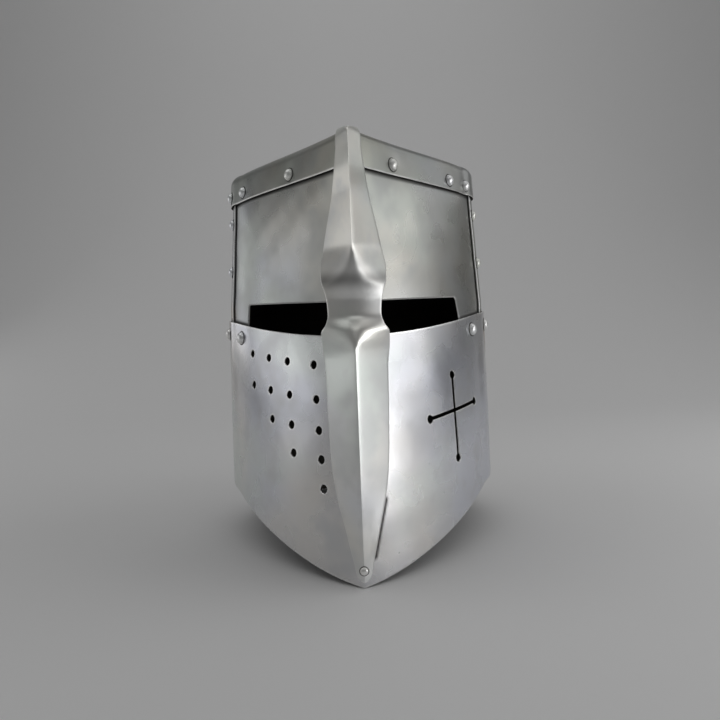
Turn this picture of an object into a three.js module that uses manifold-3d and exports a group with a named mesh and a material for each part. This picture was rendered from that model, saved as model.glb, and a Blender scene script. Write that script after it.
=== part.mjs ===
import * as THREE from 'three';
import Module from 'manifold-3d';

const wasm = await Module();
wasm.setup();

// Overall sizes in millimetres, front toward -Y, foot at Z 0
const helm_height = 287.5;
const helm_width = 204;
const front_depth = 135.4;
const back_depth = 112;

// Sheet, the air between two lapped sheets, and the step from one layer to the next
const sheet = 1.5;
const gap = 0.35;
const layer = sheet + gap;

// Horizontal sections of the inner skin, as shares of the sizes above
// crease is half the angle between the two front faces, the pulls set how straight the faces run
const sections = [
  { height: 0, half_width: 0.5, front: 1, back: 1, crease: 66, front_pull: 0.44, side_pull: 0.4 },
  { height: 0.63, half_width: 0.489, front: 0.901, back: 0.98, crease: 49, front_pull: 0.43, side_pull: 0.3 },
  { height: 1, half_width: 0.456, front: 0.932, back: 0.93, crease: 34, front_pull: 0.42, side_pull: 0.2 },
];
const quarter_round = 0.5523;

// Positions round the helm run from 0 at the front crease over 1 at the side to 2 at the rear
// The wearer's right has the minus sign
const front_facets = 12;
const back_facets = 10;
const lower_rows = 3;
const upper_back_start = 0.84;
const brow_reach = 0.95;
const lower_back_start = 1.03;
const face_reach = 1.14;

// Heights of the plate edges
const band_height = 23.5;
const shoulder_radius = 6;
const shoulder_turns = [0, 45, 90];
const corner_blunt = 8;
const tuck = 2;
const seam_lap = 15;
const seam_height = 172.4;
const seam_dip = 14.6;
const side_arch = 43.5;
const arch_slant = 0.37;
const foot_flat_start = 1.62;

// Eye slits, from behind the nasal bar to their outer ends
const slit_top = 179.3;
const slit_rise = 4.5;
const slit_inner = 0.115;
const slits = [
  { side: -1, outer: 0.634 },
  { side: 1, outer: 0.583 },
];
const slit_corner = 0.012;

// Round breaths on the wearer's right, in rows that follow the upper edge, counted in pitches
const breath_size = 5.6;
const breath_sides = 10;
const breath_drop = 19.8;
const breath_pitch = 20.15;
const breath_rows = [0, 1.13, 2.13, 3.06, 3.99];
const breath_lean = 0.008;
const breath_columns = [
  { at: 0.206, count: 5 },
  { at: 0.346, count: 4 },
  { at: 0.46, count: 3 },
  { at: 0.582, count: 2 },
];

// Cross-shaped breath on the wearer's left
const cross = { at: 0.503, height: 100.5, top: 126, bottom: 66.5, inner: 0.348, outer: 0.674 };
const cross_slant = 18;
const cross_slot = 2.5;
const cross_end = 6;

// Nasal bar, half widths and ridge height as shares of the two sizes below
const bar_half_width = 22;
const bar_ridge = 6;
const bar_sheet = 1.8;
const bar_columns = 2;
const bar_clear = 3;
const bar_blend = 10;
const bar_band_blend = 17;
const bar_stations = [
  { height: 0.016, half: 0.1, ridge: 0.05 },
  { height: 0.024, half: 0.2, ridge: 0.1 },
  { height: 0.048, half: 0.27, ridge: 0.15 },
  { height: 0.077, half: 0.36, ridge: 0.25 },
  { height: 0.132, half: 0.53, ridge: 0.42 },
  { height: 0.194, half: 0.72, ridge: 0.6 },
  { height: 0.27, half: 0.85, ridge: 0.75 },
  { height: 0.395, half: 0.91, ridge: 0.85 },
  { height: 0.476, half: 0.93, ridge: 0.92 },
  { height: 0.532, half: 1, ridge: 0.92 },
  { height: 0.556, half: 1, ridge: 0.7 },
  { height: 0.575, half: 0.85, ridge: 0.4 },
  { height: 0.595, half: 0.78, ridge: 0.1 },
  { height: 0.623, half: 0.8, ridge: 0.1 },
  { height: 0.644, half: 0.85, ridge: 0.3 },
  { height: 0.67, half: 0.95, ridge: 0.75 },
  { height: 0.7, half: 0.97, ridge: 0.95 },
  { height: 0.745, half: 0.87, ridge: 0.9 },
  { height: 0.795, half: 0.74, ridge: 0.75 },
  { height: 0.85, half: 0.58, ridge: 0.6 },
  { height: 0.92, half: 0.43, ridge: 0.5 },
  { height: 0.957, half: 0.37, ridge: 0.35 },
];
const bridge_square = 0.65;
const bridge_foot = { from: 0.4, to: 0.57 };
const bridge_top = { from: 0.665, to: 0.82 };
const bar_fold_half = 0.26;
const bar_end = [
  { run: 4, half: 0.25, square: 0.4 },
  { run: 8.5, half: 0.22, square: 0.8 },
  { run: 11.5, half: 0.12, square: 1 },
];

// Rivets
const rivet_head = 8;
const rivet_rise = 2.8;
const rivet_shank = 3.2;
const rivet_tail = 6;
const rivet_tail_rise = 1;
const rivet_sides = 10;
const rivet_hole_sides = 6;
const rivet_seat = 0.35;
const rivet_tail_seat = 0.75;
const bar_rivet_head = 5.4;
const band_rivets = [-0.326, -0.702, -0.9, 0.224, 0.594, 0.775, -1.2, 1.2, -1.5, 1.5, -1.82, 1.82];
const band_rivet_height = 16.5;
const seam_inset = 0.055;
const upper_seam_rivets = [0.735, 0.868];
const corner_rivet = 0.694;
const corner_drop = 10.5;
const corner_rivet_head = 9.2;
const rear_rivets = [1.4, 1.76];
const lower_seam_rivets = [0.2, 0.33, 0.46];
const bar_foot_rivet = 0.042;
const bar_top_rivet = 4;

// Colours of the steel
const bright_steel = '#b4b7bb';
const grey_steel = '#8f9395';
const dark_steel = '#7d807c';
const rivet_steel = '#b9bcb9';

function mix(a, b, share) {
  return a + (b - a) * share;
}

function ramp(from, to, value) {
  return Math.min(Math.max((value - from) / (to - from), 0), 1);
}

function ease(from, to, value) {
  const share = ramp(from, to, value);
  return share * share * (3 - 2 * share);
}

function bezier(a, b, c, d, t) {
  const m = 1 - t;
  return m * m * m * a + 3 * m * m * t * b + 3 * m * t * t * c + t * t * t * d;
}

// One horizontal section, moved outward by an offset
function section_at(z, offset) {
  const share = z / helm_height;
  const upper = share < sections[1].height ? 1 : 2;
  const low = sections[upper - 1];
  const high = sections[upper];
  const part = (share - low.height) / (high.height - low.height);
  const crease = THREE.MathUtils.degToRad(mix(low.crease, high.crease, part));
  return {
    crease,
    half: mix(low.half_width, high.half_width, part) * helm_width + offset,
    front: mix(low.front, high.front, part) * front_depth + offset / Math.sin(crease),
    back: mix(low.back, high.back, part) * back_depth + offset,
    front_pull: mix(low.front_pull, high.front_pull, part),
    side_pull: mix(low.side_pull, high.side_pull, part),
  };
}

function skin(u, z, offset) {
  const row = section_at(z, offset);
  const v = Math.abs(u);
  let x = 0;
  let y = 0;
  if (v <= 1) {
    const pull = row.front_pull * row.half;
    x = bezier(0, pull, row.half, row.half, v);
    y = bezier(-row.front, pull / Math.tan(row.crease) - row.front, -row.side_pull * row.front, 0, v);
  } else {
    x = bezier(row.half, row.half, quarter_round * row.half, 0, v - 1);
    y = bezier(0, quarter_round * row.back, row.back, row.back, v - 1);
  }
  return new THREE.Vector3(Math.sign(u) * x, y, z);
}

// Square to a plate whose skin lies at an offset that changes round the helm
function skin_normal(u, z, offset) {
  const step = 0.5 / front_facets;
  const along = skin(u + step, z, offset(u + step)).sub(skin(u - step, z, offset(u - step)));
  const up = skin(u, z + 1, offset(u)).sub(skin(u, z - 1, offset(u)));
  return along.cross(up).normalize();
}

// Share of the half width that a position lies from the middle plane
function spread(u, z) {
  return Math.abs(skin(u, z, 0).x) / section_at(z, 0).half;
}

// Position on the front whose distance from the middle plane is x
function position_of(x, z, offset) {
  let low = 0;
  let high = 1;
  for (let step = 0; step < 40; step += 1) {
    const middle = (low + high) / 2;
    if (skin(middle, z, offset).x < x) low = middle;
    else high = middle;
  }
  return (low + high) / 2;
}

// Plate edges as heights round the helm
const seam = (u) => (Math.abs(u) < 1
  ? seam_height - seam_dip * (1 - spread(u, seam_height) ** 2)
  : seam_height);

function foot(u) {
  const v = Math.abs(u);
  if (v > 1) return side_arch * (1 - ease(1, foot_flat_start, v));
  const s = spread(u, 0);
  return side_arch * (arch_slant * s + (1 - arch_slant) * s * s);
}

const band_foot = helm_height - band_height;
const upper_top = helm_height - shoulder_radius - tuck;

// Layers, counted outward from the brow plate, with one facet for each step between layers
const step_up = Math.floor(upper_back_start * front_facets) / front_facets;
const step_down = 1 + Math.ceil((face_reach - 1) * back_facets) / back_facets;
const over_brow = (u) => layer * (1 + ramp(step_up - 1 / front_facets, step_up, Math.abs(u)));
const over_face = (u) => layer * (3 - ramp(step_down, step_down + 1 / back_facets, Math.abs(u)));

// Marks round the helm that neighbouring plates share, closer beside the crease
function marks(low, high) {
  const all = [];
  for (let i = 0; i < front_facets; i += i < 1 ? 0.5 : 1) all.push(i / front_facets);
  for (let i = 0; i <= back_facets; i += 1) all.push(1 + i / back_facets);
  const near = 0.3 / front_facets;
  return [low, ...all.filter((m) => m > low + near && m < high - near), high];
}

function across_front(reach) {
  const half = marks(0, reach);
  return [...half.slice(1).reverse().map((u) => -u), ...half];
}

function across_back(start) {
  const half = marks(start, 2);
  return [...half, ...half.slice(0, -1).reverse().map((u) => -u)];
}

// A solid from two grids of points, outer and inner, joined along their rims
function shell(outer, inner, ring, capped) {
  const points = [];
  const faces = [];
  const columns = outer.length;
  const rows = outer[0].length;
  const put = (grid) => grid.map((column) => column.map((p) => points.push(p) - 1));
  const a = put(outer);
  const b = put(inner);
  const quad = (p, q, r, s) => faces.push([p, q, r], [p, r, s]);
  const steps = ring ? columns : columns - 1;
  for (let i = 0; i < steps; i += 1) {
    const n = (i + 1) % columns;
    for (let j = 0; j < rows - 1; j += 1) {
      quad(a[i][j], a[n][j], a[n][j + 1], a[i][j + 1]);
      quad(b[i][j], b[i][j + 1], b[n][j + 1], b[n][j]);
    }
    quad(a[i][0], b[i][0], b[n][0], a[n][0]);
    if (!capped) quad(a[i][rows - 1], a[n][rows - 1], b[n][rows - 1], b[i][rows - 1]);
  }
  if (capped) {
    const top = points.push(capped.outer) - 1;
    const ceiling = points.push(capped.inner) - 1;
    for (let i = 0; i < columns; i += 1) {
      const n = (i + 1) % columns;
      faces.push([a[i][rows - 1], a[n][rows - 1], top]);
      faces.push([b[n][rows - 1], b[i][rows - 1], ceiling]);
    }
  }
  if (!ring) {
    const e = columns - 1;
    for (let j = 0; j < rows - 1; j += 1) {
      quad(a[0][j], a[0][j + 1], b[0][j + 1], b[0][j]);
      quad(a[e][j], b[e][j], b[e][j + 1], a[e][j + 1]);
    }
  }
  return solid(points, faces);
}

// Turns faces outward if they came out inward, and hands over a solid
function solid(points, faces) {
  let volume = 0;
  for (const [a, b, c] of faces) {
    volume += points[a].dot(new THREE.Vector3().crossVectors(points[b], points[c]));
  }
  const turned = volume < 0 ? faces.map(([a, b, c]) => [a, c, b]) : faces;
  return new wasm.Manifold(new wasm.Mesh({
    numProp: 3,
    vertProperties: new Float32Array(points.flatMap((p) => [p.x, p.y, p.z])),
    triVerts: new Uint32Array(turned.flat()),
  }));
}

function grid(columns, rows, place) {
  return columns.map((u) => rows.map((row) => place(u, row)));
}

function evenly(count) {
  return Array.from({ length: count + 1 }, (unused, i) => i / count);
}

// A lapped plate through a list of heights, each given round the helm
function plate(columns, levels, inside) {
  return shell(
    grid(columns, levels, (u, level) => skin(u, level(u), inside(u) + sheet)),
    grid(columns, levels, (u, level) => skin(u, level(u), inside(u))),
    false,
    null,
  );
}

// A solid of revolution about an axis that starts at a point
function turned(profile, sides, origin, axis) {
  const points = [];
  const faces = [];
  const turn = new THREE.Quaternion().setFromUnitVectors(new THREE.Vector3(0, 0, 1), axis);
  const rings = profile.map(([radius, height]) => {
    const count = radius > 0 ? sides : 1;
    return Array.from({ length: count }, (unused, i) => {
      const angle = (2 * Math.PI * i) / sides;
      const p = new THREE.Vector3(radius * Math.cos(angle), radius * Math.sin(angle), height);
      return points.push(p.applyQuaternion(turn).add(origin)) - 1;
    });
  });
  for (let k = 0; k < rings.length - 1; k += 1) {
    const a = rings[k];
    const b = rings[k + 1];
    for (let i = 0; i < sides; i += 1) {
      const n = (i + 1) % sides;
      if (a.length > 1) faces.push([a[i], a[n], b[b.length > 1 ? n : 0]]);
      if (b.length > 1) faces.push([a[a.length > 1 ? i : 0], b[n], b[i]]);
    }
  }
  return solid(points, faces);
}

function drill(size, sides, origin, axis, reach) {
  const radius = size / 2 / Math.cos(Math.PI / sides);
  return turned([[0, reach], [radius, reach], [radius, -reach], [0, -reach]], sides, origin, axis);
}

// A curved cutter through the front plates, between two positions and two heights
function opening(from, to, low, high, rows) {
  const columns = [from, ...marks(0, 1).filter((m) => m > from && m < to), to];
  const side = (sign) => columns.map((u) => u * sign);
  return (sign) => shell(
    grid(side(sign), evenly(rows), (u, row) => skin(u, mix(low(u), high(u), row), 4 * layer)),
    grid(side(sign), evenly(rows), (u, row) => skin(u, mix(low(u), high(u), row), -layer)),
    false,
    null,
  );
}

// Foremost line across the crease, set back where the sheet turns over onto the crown
function nose_line(z, offset, rise) {
  return corner_blunt * rise ** 2 - section_at(z, offset).front;
}

// Crown with its turned-down band
function crown_grid(offset, radius, top) {
  const columns = [...across_front(1), ...across_back(1).slice(1, -1)];
  const rows = [
    { inset: 0, z: band_foot, rise: 0 },
    ...shoulder_turns.map((turn) => {
      const angle = THREE.MathUtils.degToRad(turn);
      const rise = Math.sin(angle);
      return { inset: radius * (1 - Math.cos(angle)), z: top - radius * (1 - rise), rise };
    }),
  ];
  return grid(columns, rows, (u, row) => {
    const depth = over_brow(u) + offset - row.inset;
    const point = skin(u, row.z, depth);
    point.y = Math.max(point.y, nose_line(row.z, depth, row.rise));
    return point;
  });
}

const crown = shell(
  crown_grid(sheet, shoulder_radius, helm_height),
  crown_grid(0, shoulder_radius - sheet, helm_height - sheet),
  true,
  {
    outer: new THREE.Vector3(0, 0, helm_height),
    inner: new THREE.Vector3(0, 0, helm_height - sheet),
  },
);

// Plates
const seam_foot = (u) => seam(u) - seam_lap;
const eye_level = () => sections[1].height * helm_height;
const half_way = () => (eye_level() + upper_top) / 2;
const upper_levels = [seam_foot, eye_level, half_way, () => upper_top];
const lower_levels = evenly(lower_rows).map((share) => (u) => mix(foot(u), seam(u), share));
const brow = plate(across_front(brow_reach), upper_levels, () => 0);
const upper_back = plate(across_back(upper_back_start), upper_levels, () => layer);
const face = plate(across_front(face_reach), lower_levels, over_brow);
const lower_back = plate(across_back(lower_back_start), lower_levels, over_face);

// Nasal bar, rising along the crease, over the shoulder and onto the crown
function bar_row(station) {
  const z = station.height * helm_height;
  const face_edge = seam(slit_inner) + bar_clear;
  const over_face_edge = 1 - ease(face_edge, face_edge + bar_blend, z);
  const over_band = ease(band_foot - bar_band_blend, band_foot, z);
  const above_foot = ease(bridge_foot.from, bridge_foot.to, station.height);
  const below_top = 1 - ease(bridge_top.from, bridge_top.to, station.height);
  return {
    z,
    rise: 0,
    back: 0,
    square: bridge_square * above_foot * below_top,
    offset: layer * (1 + Math.max(over_face_edge, over_band)) - gap,
    half: station.half * bar_half_width,
    ridge: station.ridge * bar_ridge,
  };
}

function bar_rows() {
  const rows = bar_stations.map(bar_row);
  const last = rows[rows.length - 1];
  for (const turn of shoulder_turns) {
    const angle = THREE.MathUtils.degToRad(turn);
    rows.push({
      z: helm_height - shoulder_radius * (1 - Math.sin(angle)),
      rise: Math.sin(angle),
      back: 0,
      square: 0,
      offset: last.offset - shoulder_radius * (1 - Math.cos(angle)),
      half: mix(last.half, bar_fold_half * bar_half_width, turn / 90),
      ridge: last.ridge * Math.cos(angle) ** 2,
    });
  }
  const fold = rows[rows.length - 1];
  for (const end of bar_end) {
    rows.push({ ...fold, back: end.run, square: end.square, half: end.half * bar_half_width, ridge: 0 });
  }
  return rows;
}

function bar_point(row, share, depth) {
  const level = Math.sqrt(Math.max(1 - row.rise * row.rise, 0));
  const offset = row.offset + depth * level;
  const z = row.z + depth * row.rise;
  const height = Math.min(z, helm_height);
  const x = Math.abs(share) * row.half;
  const nose = nose_line(height, offset, row.rise);
  const line = Math.max(skin(position_of(x, height, offset), height, offset).y, nose);
  const y = mix(line, nose, row.square) - row.ridge * (1 - Math.abs(share)) + row.back;
  return new THREE.Vector3(share * row.half, y, z);
}

const bar_shares = evenly(2 * bar_columns).map((share) => 2 * share - 1);
const bar_lines = bar_rows();
const bar = shell(
  bar_shares.map((share) => bar_lines.map((row) => bar_point(row, share, gap + bar_sheet))),
  bar_shares.map((share) => bar_lines.map((row) => bar_point(row, share, gap))),
  false,
  null,
);

// Rivets, each with the plates it holds
const rivets = [];

function add_rivet(name, plates, outside, inside, axis, head, tail_clear) {
  const depth = outside.clone().sub(inside).dot(axis) + rivet_seat + tail_clear;
  const origin = outside.clone().addScaledVector(axis, rivet_seat);
  const radius = head / 2;
  const profile = [
    [0, rivet_rise],
    [radius * 0.75, rivet_rise * 0.65],
    [radius, 0],
    [rivet_shank / 2, 0],
    [rivet_shank / 2, -depth],
    [rivet_tail / 2, -depth],
    [rivet_tail / 2, -depth - rivet_tail_rise],
    [0, -depth - rivet_tail_rise],
  ];
  rivets.push({
    name,
    plates,
    body: turned(profile, rivet_sides, origin, axis),
    hole: drill(rivet_shank + 2 * gap, rivet_hole_sides, outside, axis, depth),
  });
}

function plate_rivet(name, plates, u, z, outer, inner, head) {
  const outside = skin(u, z, outer(u) + sheet);
  const inside = skin(u, z, inner);
  add_rivet(name, plates, outside, inside, skin_normal(u, z, outer), head, rivet_tail_seat);
}

band_rivets.forEach((u, i) => {
  const v = Math.abs(u);
  const plates = ['crown'];
  if (v < brow_reach) plates.push('brow_plate');
  if (v > upper_back_start) plates.push('upper_back_plate');
  const inner = v < brow_reach ? 0 : layer;
  const height = helm_height - band_rivet_height;
  plate_rivet(`rivet_band_${i + 1}`, plates, u, height, over_brow, inner, rivet_head);
});

for (const [side, sign] of [['right', -1], ['left', 1]]) {
  upper_seam_rivets.forEach((share, i) => {
    const u = sign * (upper_back_start + seam_inset);
    const plates = ['brow_plate', 'upper_back_plate'];
    plate_rivet(`rivet_seam_${side}_${i + 1}`, plates, u, share * helm_height, () => layer, 0, rivet_head);
  });
  const corner = sign * corner_rivet;
  plate_rivet(
    `rivet_corner_${side}_1`, ['brow_plate', 'face_plate'],
    corner, seam(corner) - corner_drop, over_brow, 0, corner_rivet_head,
  );
  const outer_corner = sign * (upper_back_start + seam_inset);
  plate_rivet(
    `rivet_corner_${side}_2`, ['brow_plate', 'upper_back_plate', 'face_plate'],
    outer_corner, seam(outer_corner) - corner_drop, over_brow, 0, corner_rivet_head,
  );
  rear_rivets.forEach((v, i) => {
    const plates = ['upper_back_plate', 'lower_back_plate'];
    const name = `rivet_rear_${side}_${i + 1}`;
    plate_rivet(name, plates, sign * v, seam(v) - seam_lap / 2, over_face, layer, rivet_head);
  });
  lower_seam_rivets.forEach((share, i) => {
    const u = sign * (lower_back_start + seam_inset);
    const plates = ['face_plate', 'lower_back_plate'];
    const name = `rivet_side_${side}_${i + 1}`;
    plate_rivet(name, plates, u, share * helm_height, over_face, 2 * layer, rivet_head);
  });
}

const forward = new THREE.Vector3(0, -1, 0);
const upward = new THREE.Vector3(0, 0, 1);

// Foot of the bar, with the tail set back out of the crease
const bar_foot = bar_row({ height: bar_foot_rivet, half: 0.2, ridge: 0.16 });
const foot_crease = section_at(bar_foot.z, 0).crease;
add_rivet(
  'rivet_bar_foot', ['face_plate', 'nasal_bar'],
  bar_point(bar_foot, 0, gap + bar_sheet),
  skin(0, bar_foot.z, layer),
  forward, bar_rivet_head, rivet_tail_seat + rivet_tail / 2 / Math.tan(foot_crease),
);

// Top of the bar, through the crown
const fold_row = bar_lines[bar_lines.length - 1 - bar_end.length];
const top_rivet_y = bar_point(fold_row, 0, 0).y + bar_top_rivet;
add_rivet(
  'rivet_bar_top', ['crown', 'nasal_bar'],
  new THREE.Vector3(0, top_rivet_y, helm_height + gap + bar_sheet),
  new THREE.Vector3(0, top_rivet_y, helm_height - sheet),
  upward, bar_rivet_head, rivet_tail_seat,
);

// Openings in the brow plate and the face plate
const brow_cuts = slits.map((slit) => opening(
  slit_inner,
  slit.outer,
  (u) => seam_foot(u) - seam_lap,
  (u) => slit_top + slit_rise * spread(u, slit_top)
    - slit_rise * ease(slit.outer - slit_corner, slit.outer, Math.abs(u)) / 2,
  1,
)(slit.side));

const face_cuts = [];
for (const column of breath_columns) {
  for (let row = 0; row < column.count; row += 1) {
    const u = breath_lean * row - column.at;
    const z = seam(u) - breath_drop - breath_rows[row] * breath_pitch;
    const origin = skin(u, z, layer);
    const axis = skin_normal(u, z, over_brow);
    face_cuts.push(drill(breath_size, breath_sides, origin, axis, 4 * layer));
  }
}

const cross_line = (u) => cross.height + cross_slant * (Math.abs(u) - cross.at);
const cross_ends = [
  [cross.at, cross.top],
  [cross.at, cross.bottom],
  [cross.inner, cross_line(cross.inner)],
  [cross.outer, cross_line(cross.outer)],
];
for (const [u, z] of cross_ends) {
  face_cuts.push(drill(cross_end, breath_sides, skin(u, z, layer), skin_normal(u, z, over_brow), 4 * layer));
}
const slot_step = skin(cross.at + 0.01, cross.height, layer).distanceTo(skin(cross.at, cross.height, layer));
const slot_half = (cross_slot / 2) * (0.01 / slot_step);
face_cuts.push(opening(
  cross.at - slot_half,
  cross.at + slot_half,
  () => cross.bottom,
  () => cross.top,
  3,
)(1));
face_cuts.push(opening(
  cross.inner,
  cross.outer,
  (u) => cross_line(u) - cross_slot / 2,
  (u) => cross_line(u) + cross_slot / 2,
  1,
)(1));

// Cutting, colouring and naming
const group = new THREE.Group();
group.name = 'great_helm';

function cut(body, cutters) {
  return cutters.reduce((rest, cutter) => rest.subtract(cutter), body);
}

function add_piece(name, body, colour, roughness) {
  const mesh = body.getMesh();
  const position = [];
  for (const index of mesh.triVerts) {
    const at = index * mesh.numProp;
    position.push(mesh.vertProperties[at], mesh.vertProperties[at + 1], mesh.vertProperties[at + 2]);
  }
  const geometry = new THREE.BufferGeometry();
  geometry.setAttribute('position', new THREE.Float32BufferAttribute(position, 3));
  geometry.computeVertexNormals();
  const material = new THREE.MeshStandardMaterial({ color: colour, roughness, metalness: 1 });
  const piece = new THREE.Mesh(geometry, material);
  piece.name = name;
  group.add(piece);
}

const plates = [
  { name: 'crown', body: crown, cuts: [], colour: dark_steel, roughness: 0.4 },
  { name: 'brow_plate', body: brow, cuts: brow_cuts, colour: grey_steel, roughness: 0.36 },
  { name: 'upper_back_plate', body: upper_back, cuts: [], colour: grey_steel, roughness: 0.38 },
  { name: 'face_plate', body: face, cuts: face_cuts, colour: bright_steel, roughness: 0.34 },
  { name: 'lower_back_plate', body: lower_back, cuts: [], colour: grey_steel, roughness: 0.38 },
  { name: 'nasal_bar', body: bar, cuts: [], colour: bright_steel, roughness: 0.34 },
];
for (const piece of plates) {
  const holes = rivets.filter((rivet) => rivet.plates.includes(piece.name)).map((rivet) => rivet.hole);
  add_piece(piece.name, cut(piece.body, [...piece.cuts, ...holes]), piece.colour, piece.roughness);
}
for (const rivet of rivets) add_piece(rivet.name, rivet.body, rivet_steel, 0.42);

// Stand the helm with its box centred over the origin
const box = new THREE.Box3().setFromObject(group);
for (const piece of group.children) {
  piece.geometry.translate(0, -(box.min.y + box.max.y) / 2, -box.min.z);
}

export default group;
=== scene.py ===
"""Great helm of lapped and riveted steel plates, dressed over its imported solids."""

import math

import bmesh
import bpy
import numpy as np
from mathutils import Matrix, Vector
from mathutils.bvhtree import BVHTree
from mathutils.interpolate import poly_3d_calc
from mathutils.kdtree import KDTree


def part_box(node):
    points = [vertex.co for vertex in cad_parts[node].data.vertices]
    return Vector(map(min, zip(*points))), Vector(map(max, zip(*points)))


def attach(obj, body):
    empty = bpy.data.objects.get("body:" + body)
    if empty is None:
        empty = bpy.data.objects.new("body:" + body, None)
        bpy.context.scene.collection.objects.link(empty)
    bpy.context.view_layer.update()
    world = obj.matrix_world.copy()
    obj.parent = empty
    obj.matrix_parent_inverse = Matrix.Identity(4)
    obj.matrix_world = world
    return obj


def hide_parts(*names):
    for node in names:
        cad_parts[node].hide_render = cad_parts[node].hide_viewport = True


bl_info = {
    "name": "Great Helm",
    "version": (1, 0, 0),
    "blender": (4, 5, 0),
    "location": "View3D > Sidebar > Great Helm",
    "description": "Builds a riveted steel great helm with eye slits and breaths",
    "category": "Add Mesh",
}

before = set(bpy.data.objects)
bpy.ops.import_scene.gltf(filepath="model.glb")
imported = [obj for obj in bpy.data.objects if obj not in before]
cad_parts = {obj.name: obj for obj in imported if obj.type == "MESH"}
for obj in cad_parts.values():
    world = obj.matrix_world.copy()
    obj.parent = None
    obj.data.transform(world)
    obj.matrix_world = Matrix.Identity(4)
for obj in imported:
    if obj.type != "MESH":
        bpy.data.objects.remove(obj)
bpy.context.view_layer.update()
MM = 0.001

# Horizontal sections of the inner skin, heights as shares of the helm's height:
# height, half width, front depth, back depth, half angle of the crease, front pull, side pull
SECTIONS = (
    (0.00, 0.500, 1.000, 1.00, 66.0, 0.44, 0.40),
    (0.63, 0.489, 0.901, 0.98, 49.0, 0.43, 0.30),
    (1.00, 0.456, 0.932, 0.93, 34.0, 0.42, 0.20),
)
QUARTER_ROUND = 0.5523

# Positions round the helm: 0 at the front crease, 1 at the side, 2 at the rear
UPPER_BACK_START = 0.84
BROW_REACH = 0.95
LOWER_BACK_START = 1.03
FACE_REACH = 1.14
STEP_UP = (0.75, 0.833)
STEP_DOWN = (1.2, 1.3)
FOOT_FLAT_START = 1.62
ARCH_SLANT = 0.37

# Eye slits: side, position of the outer end at its top and at its foot, radius of its corner
SLITS = ((-1, 0.628, 0.652, 0.5), (1, 0.572, 0.62, 1.8))
SLIT_INNER = 0.115

# Round breaths: position, how many rows down, and how far each row leans toward the crease
BREATH_COLUMNS = ((0.206, 5), (0.346, 4), (0.46, 3), (0.582, 2))
BREATH_ROWS = (0, 1.13, 2.13, 3.06, 3.99)
BREATH_LEAN = 0.008

# Cross breath: position and height of its four round ends
CROSS_TOP = (0.498, 126.0)
CROSS_FOOT = (0.508, 66.5)
CROSS_INNER = (0.348, 97.7)
CROSS_OUTER = (0.674, 103.6)

# Nasal bar stations: height as a share of the helm's, half width and ridge as shares of the bar's
BAR_STATIONS = (
    (0.016, 0.10, 0.05),
    (0.024, 0.20, 0.10),
    (0.048, 0.27, 0.15),
    (0.077, 0.36, 0.25),
    (0.132, 0.53, 0.42),
    (0.194, 0.72, 0.60),
    (0.270, 0.85, 0.75),
    (0.395, 0.91, 0.85),
    (0.476, 0.93, 0.92),
    (0.532, 1.00, 0.92),
    (0.556, 1.00, 0.70),
    (0.575, 0.85, 0.40),
    (0.595, 0.78, 0.10),
    (0.623, 0.80, 0.10),
    (0.644, 0.85, 0.30),
    (0.670, 0.95, 0.75),
    (0.700, 0.97, 0.95),
    (0.745, 0.87, 0.90),
    (0.795, 0.74, 0.75),
    (0.850, 0.58, 0.60),
    (0.920, 0.43, 0.50),
    (0.957, 0.37, 0.35),
)
# Bridge between the eyes: how square it stands across, and where that comes in and goes out
BRIDGE_SQUARE = 0.65
BRIDGE_FOOT = (0.495, 0.59)
BRIDGE_TOP = (0.65, 0.755)
HOLLOW_FOOT = (0.51, 0.605)
HOLLOW_TOP = (0.645, 0.75)
BAR_FOLD_HALF = 0.26
# Bar end on the crown: run in millimetres, half width, how square across
BAR_END = ((4.0, 0.25, 0.4), (8.5, 0.22, 0.8), (11.5, 0.12, 1.0))
# Heights in millimetres where the bar's sprung edge comes away and goes back, and of the painted shadow
# line under it
SPRUNG_FOOT = (18.0, 32.0)
SPRUNG_TOP = (38.0, 62.0)
SPRUNG_LINE = (18.0, 52.0)
# Painted shade in the bar's hollow under the brow: heights as shares of the helm's
HOLLOW_SHADE = (0.64, 0.70)

# Soft boxes round the helm: name, turn from the front toward the viewer's right and height in degrees,
# width and tallness in metres, power in watts
SOFT_BOXES = (
    ("left strip", -98, 9, 0.5, 0.5, 0.54),
    ("left front strip", -76, 9, 0.5, 0.5, 0.15),
    ("right strip", 80, 9, 0.5, 0.5, 1.0),
    ("right rear strip", 110, 30, 0.6, 0.6, 0.51),
    ("left high", -90, 55, 0.8, 0.8, 1.6),
    ("right high", 90, 55, 0.8, 0.8, 1.3),
    ("left rear strip", -122, 9, 0.5, 0.5, 0.5),
    ("front high", 5, 55, 1.2, 0.8, 1.2),
)
LIGHT_AIM = (0.0, 0.0, 0.15)
LIGHT_DISTANCE = 1.5
# Panels with their own place: name, place, aim, width, tallness, power
PANELS = (
    ("right floor wash", (0.85, -0.15, 0.45), (0.85, -0.15, 0.0), 0.45, 0.45, 0.96),
    ("right window", (1.06, -0.563, 0.13), (0.0, 0.0, 0.13), 0.3, 0.24, 1.5),
    ("left window", (-1.197, -0.084, 0.13), (0.0, 0.0, 0.13), 0.3, 0.24, 0.1),
    ("wall wash", (0.0, 0.5, 2.2), (0.0, 1.6, 0.7), 1.4, 0.8, 4.0),
)

# Rivets: positions round the band, corner and rear, and heights of those down the seams as shares
BAND_RIVETS = (-0.326, -0.702, -0.9, 0.224, 0.594, 0.775, -1.2, 1.2, -1.5, 1.5, -1.82, 1.82)
UPPER_SEAM_RIVETS = (0.735, 0.868)
REAR_RIVETS = (1.4, 1.76)
CORNER_RIVET = 0.694
LOWER_SEAM_RIVETS = (0.2, 0.33, 0.46)
# Rivets of the side seams stand this far in from the plate's end
SEAM_INSET = 0.055
# In millimetres: band rivets below the crown, corner rivets below the seam, seat of the bar's rivets
BAND_DROP = 16.5
CORNER_DROP = 10.5
BAR_SEAT = 2.75

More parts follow.
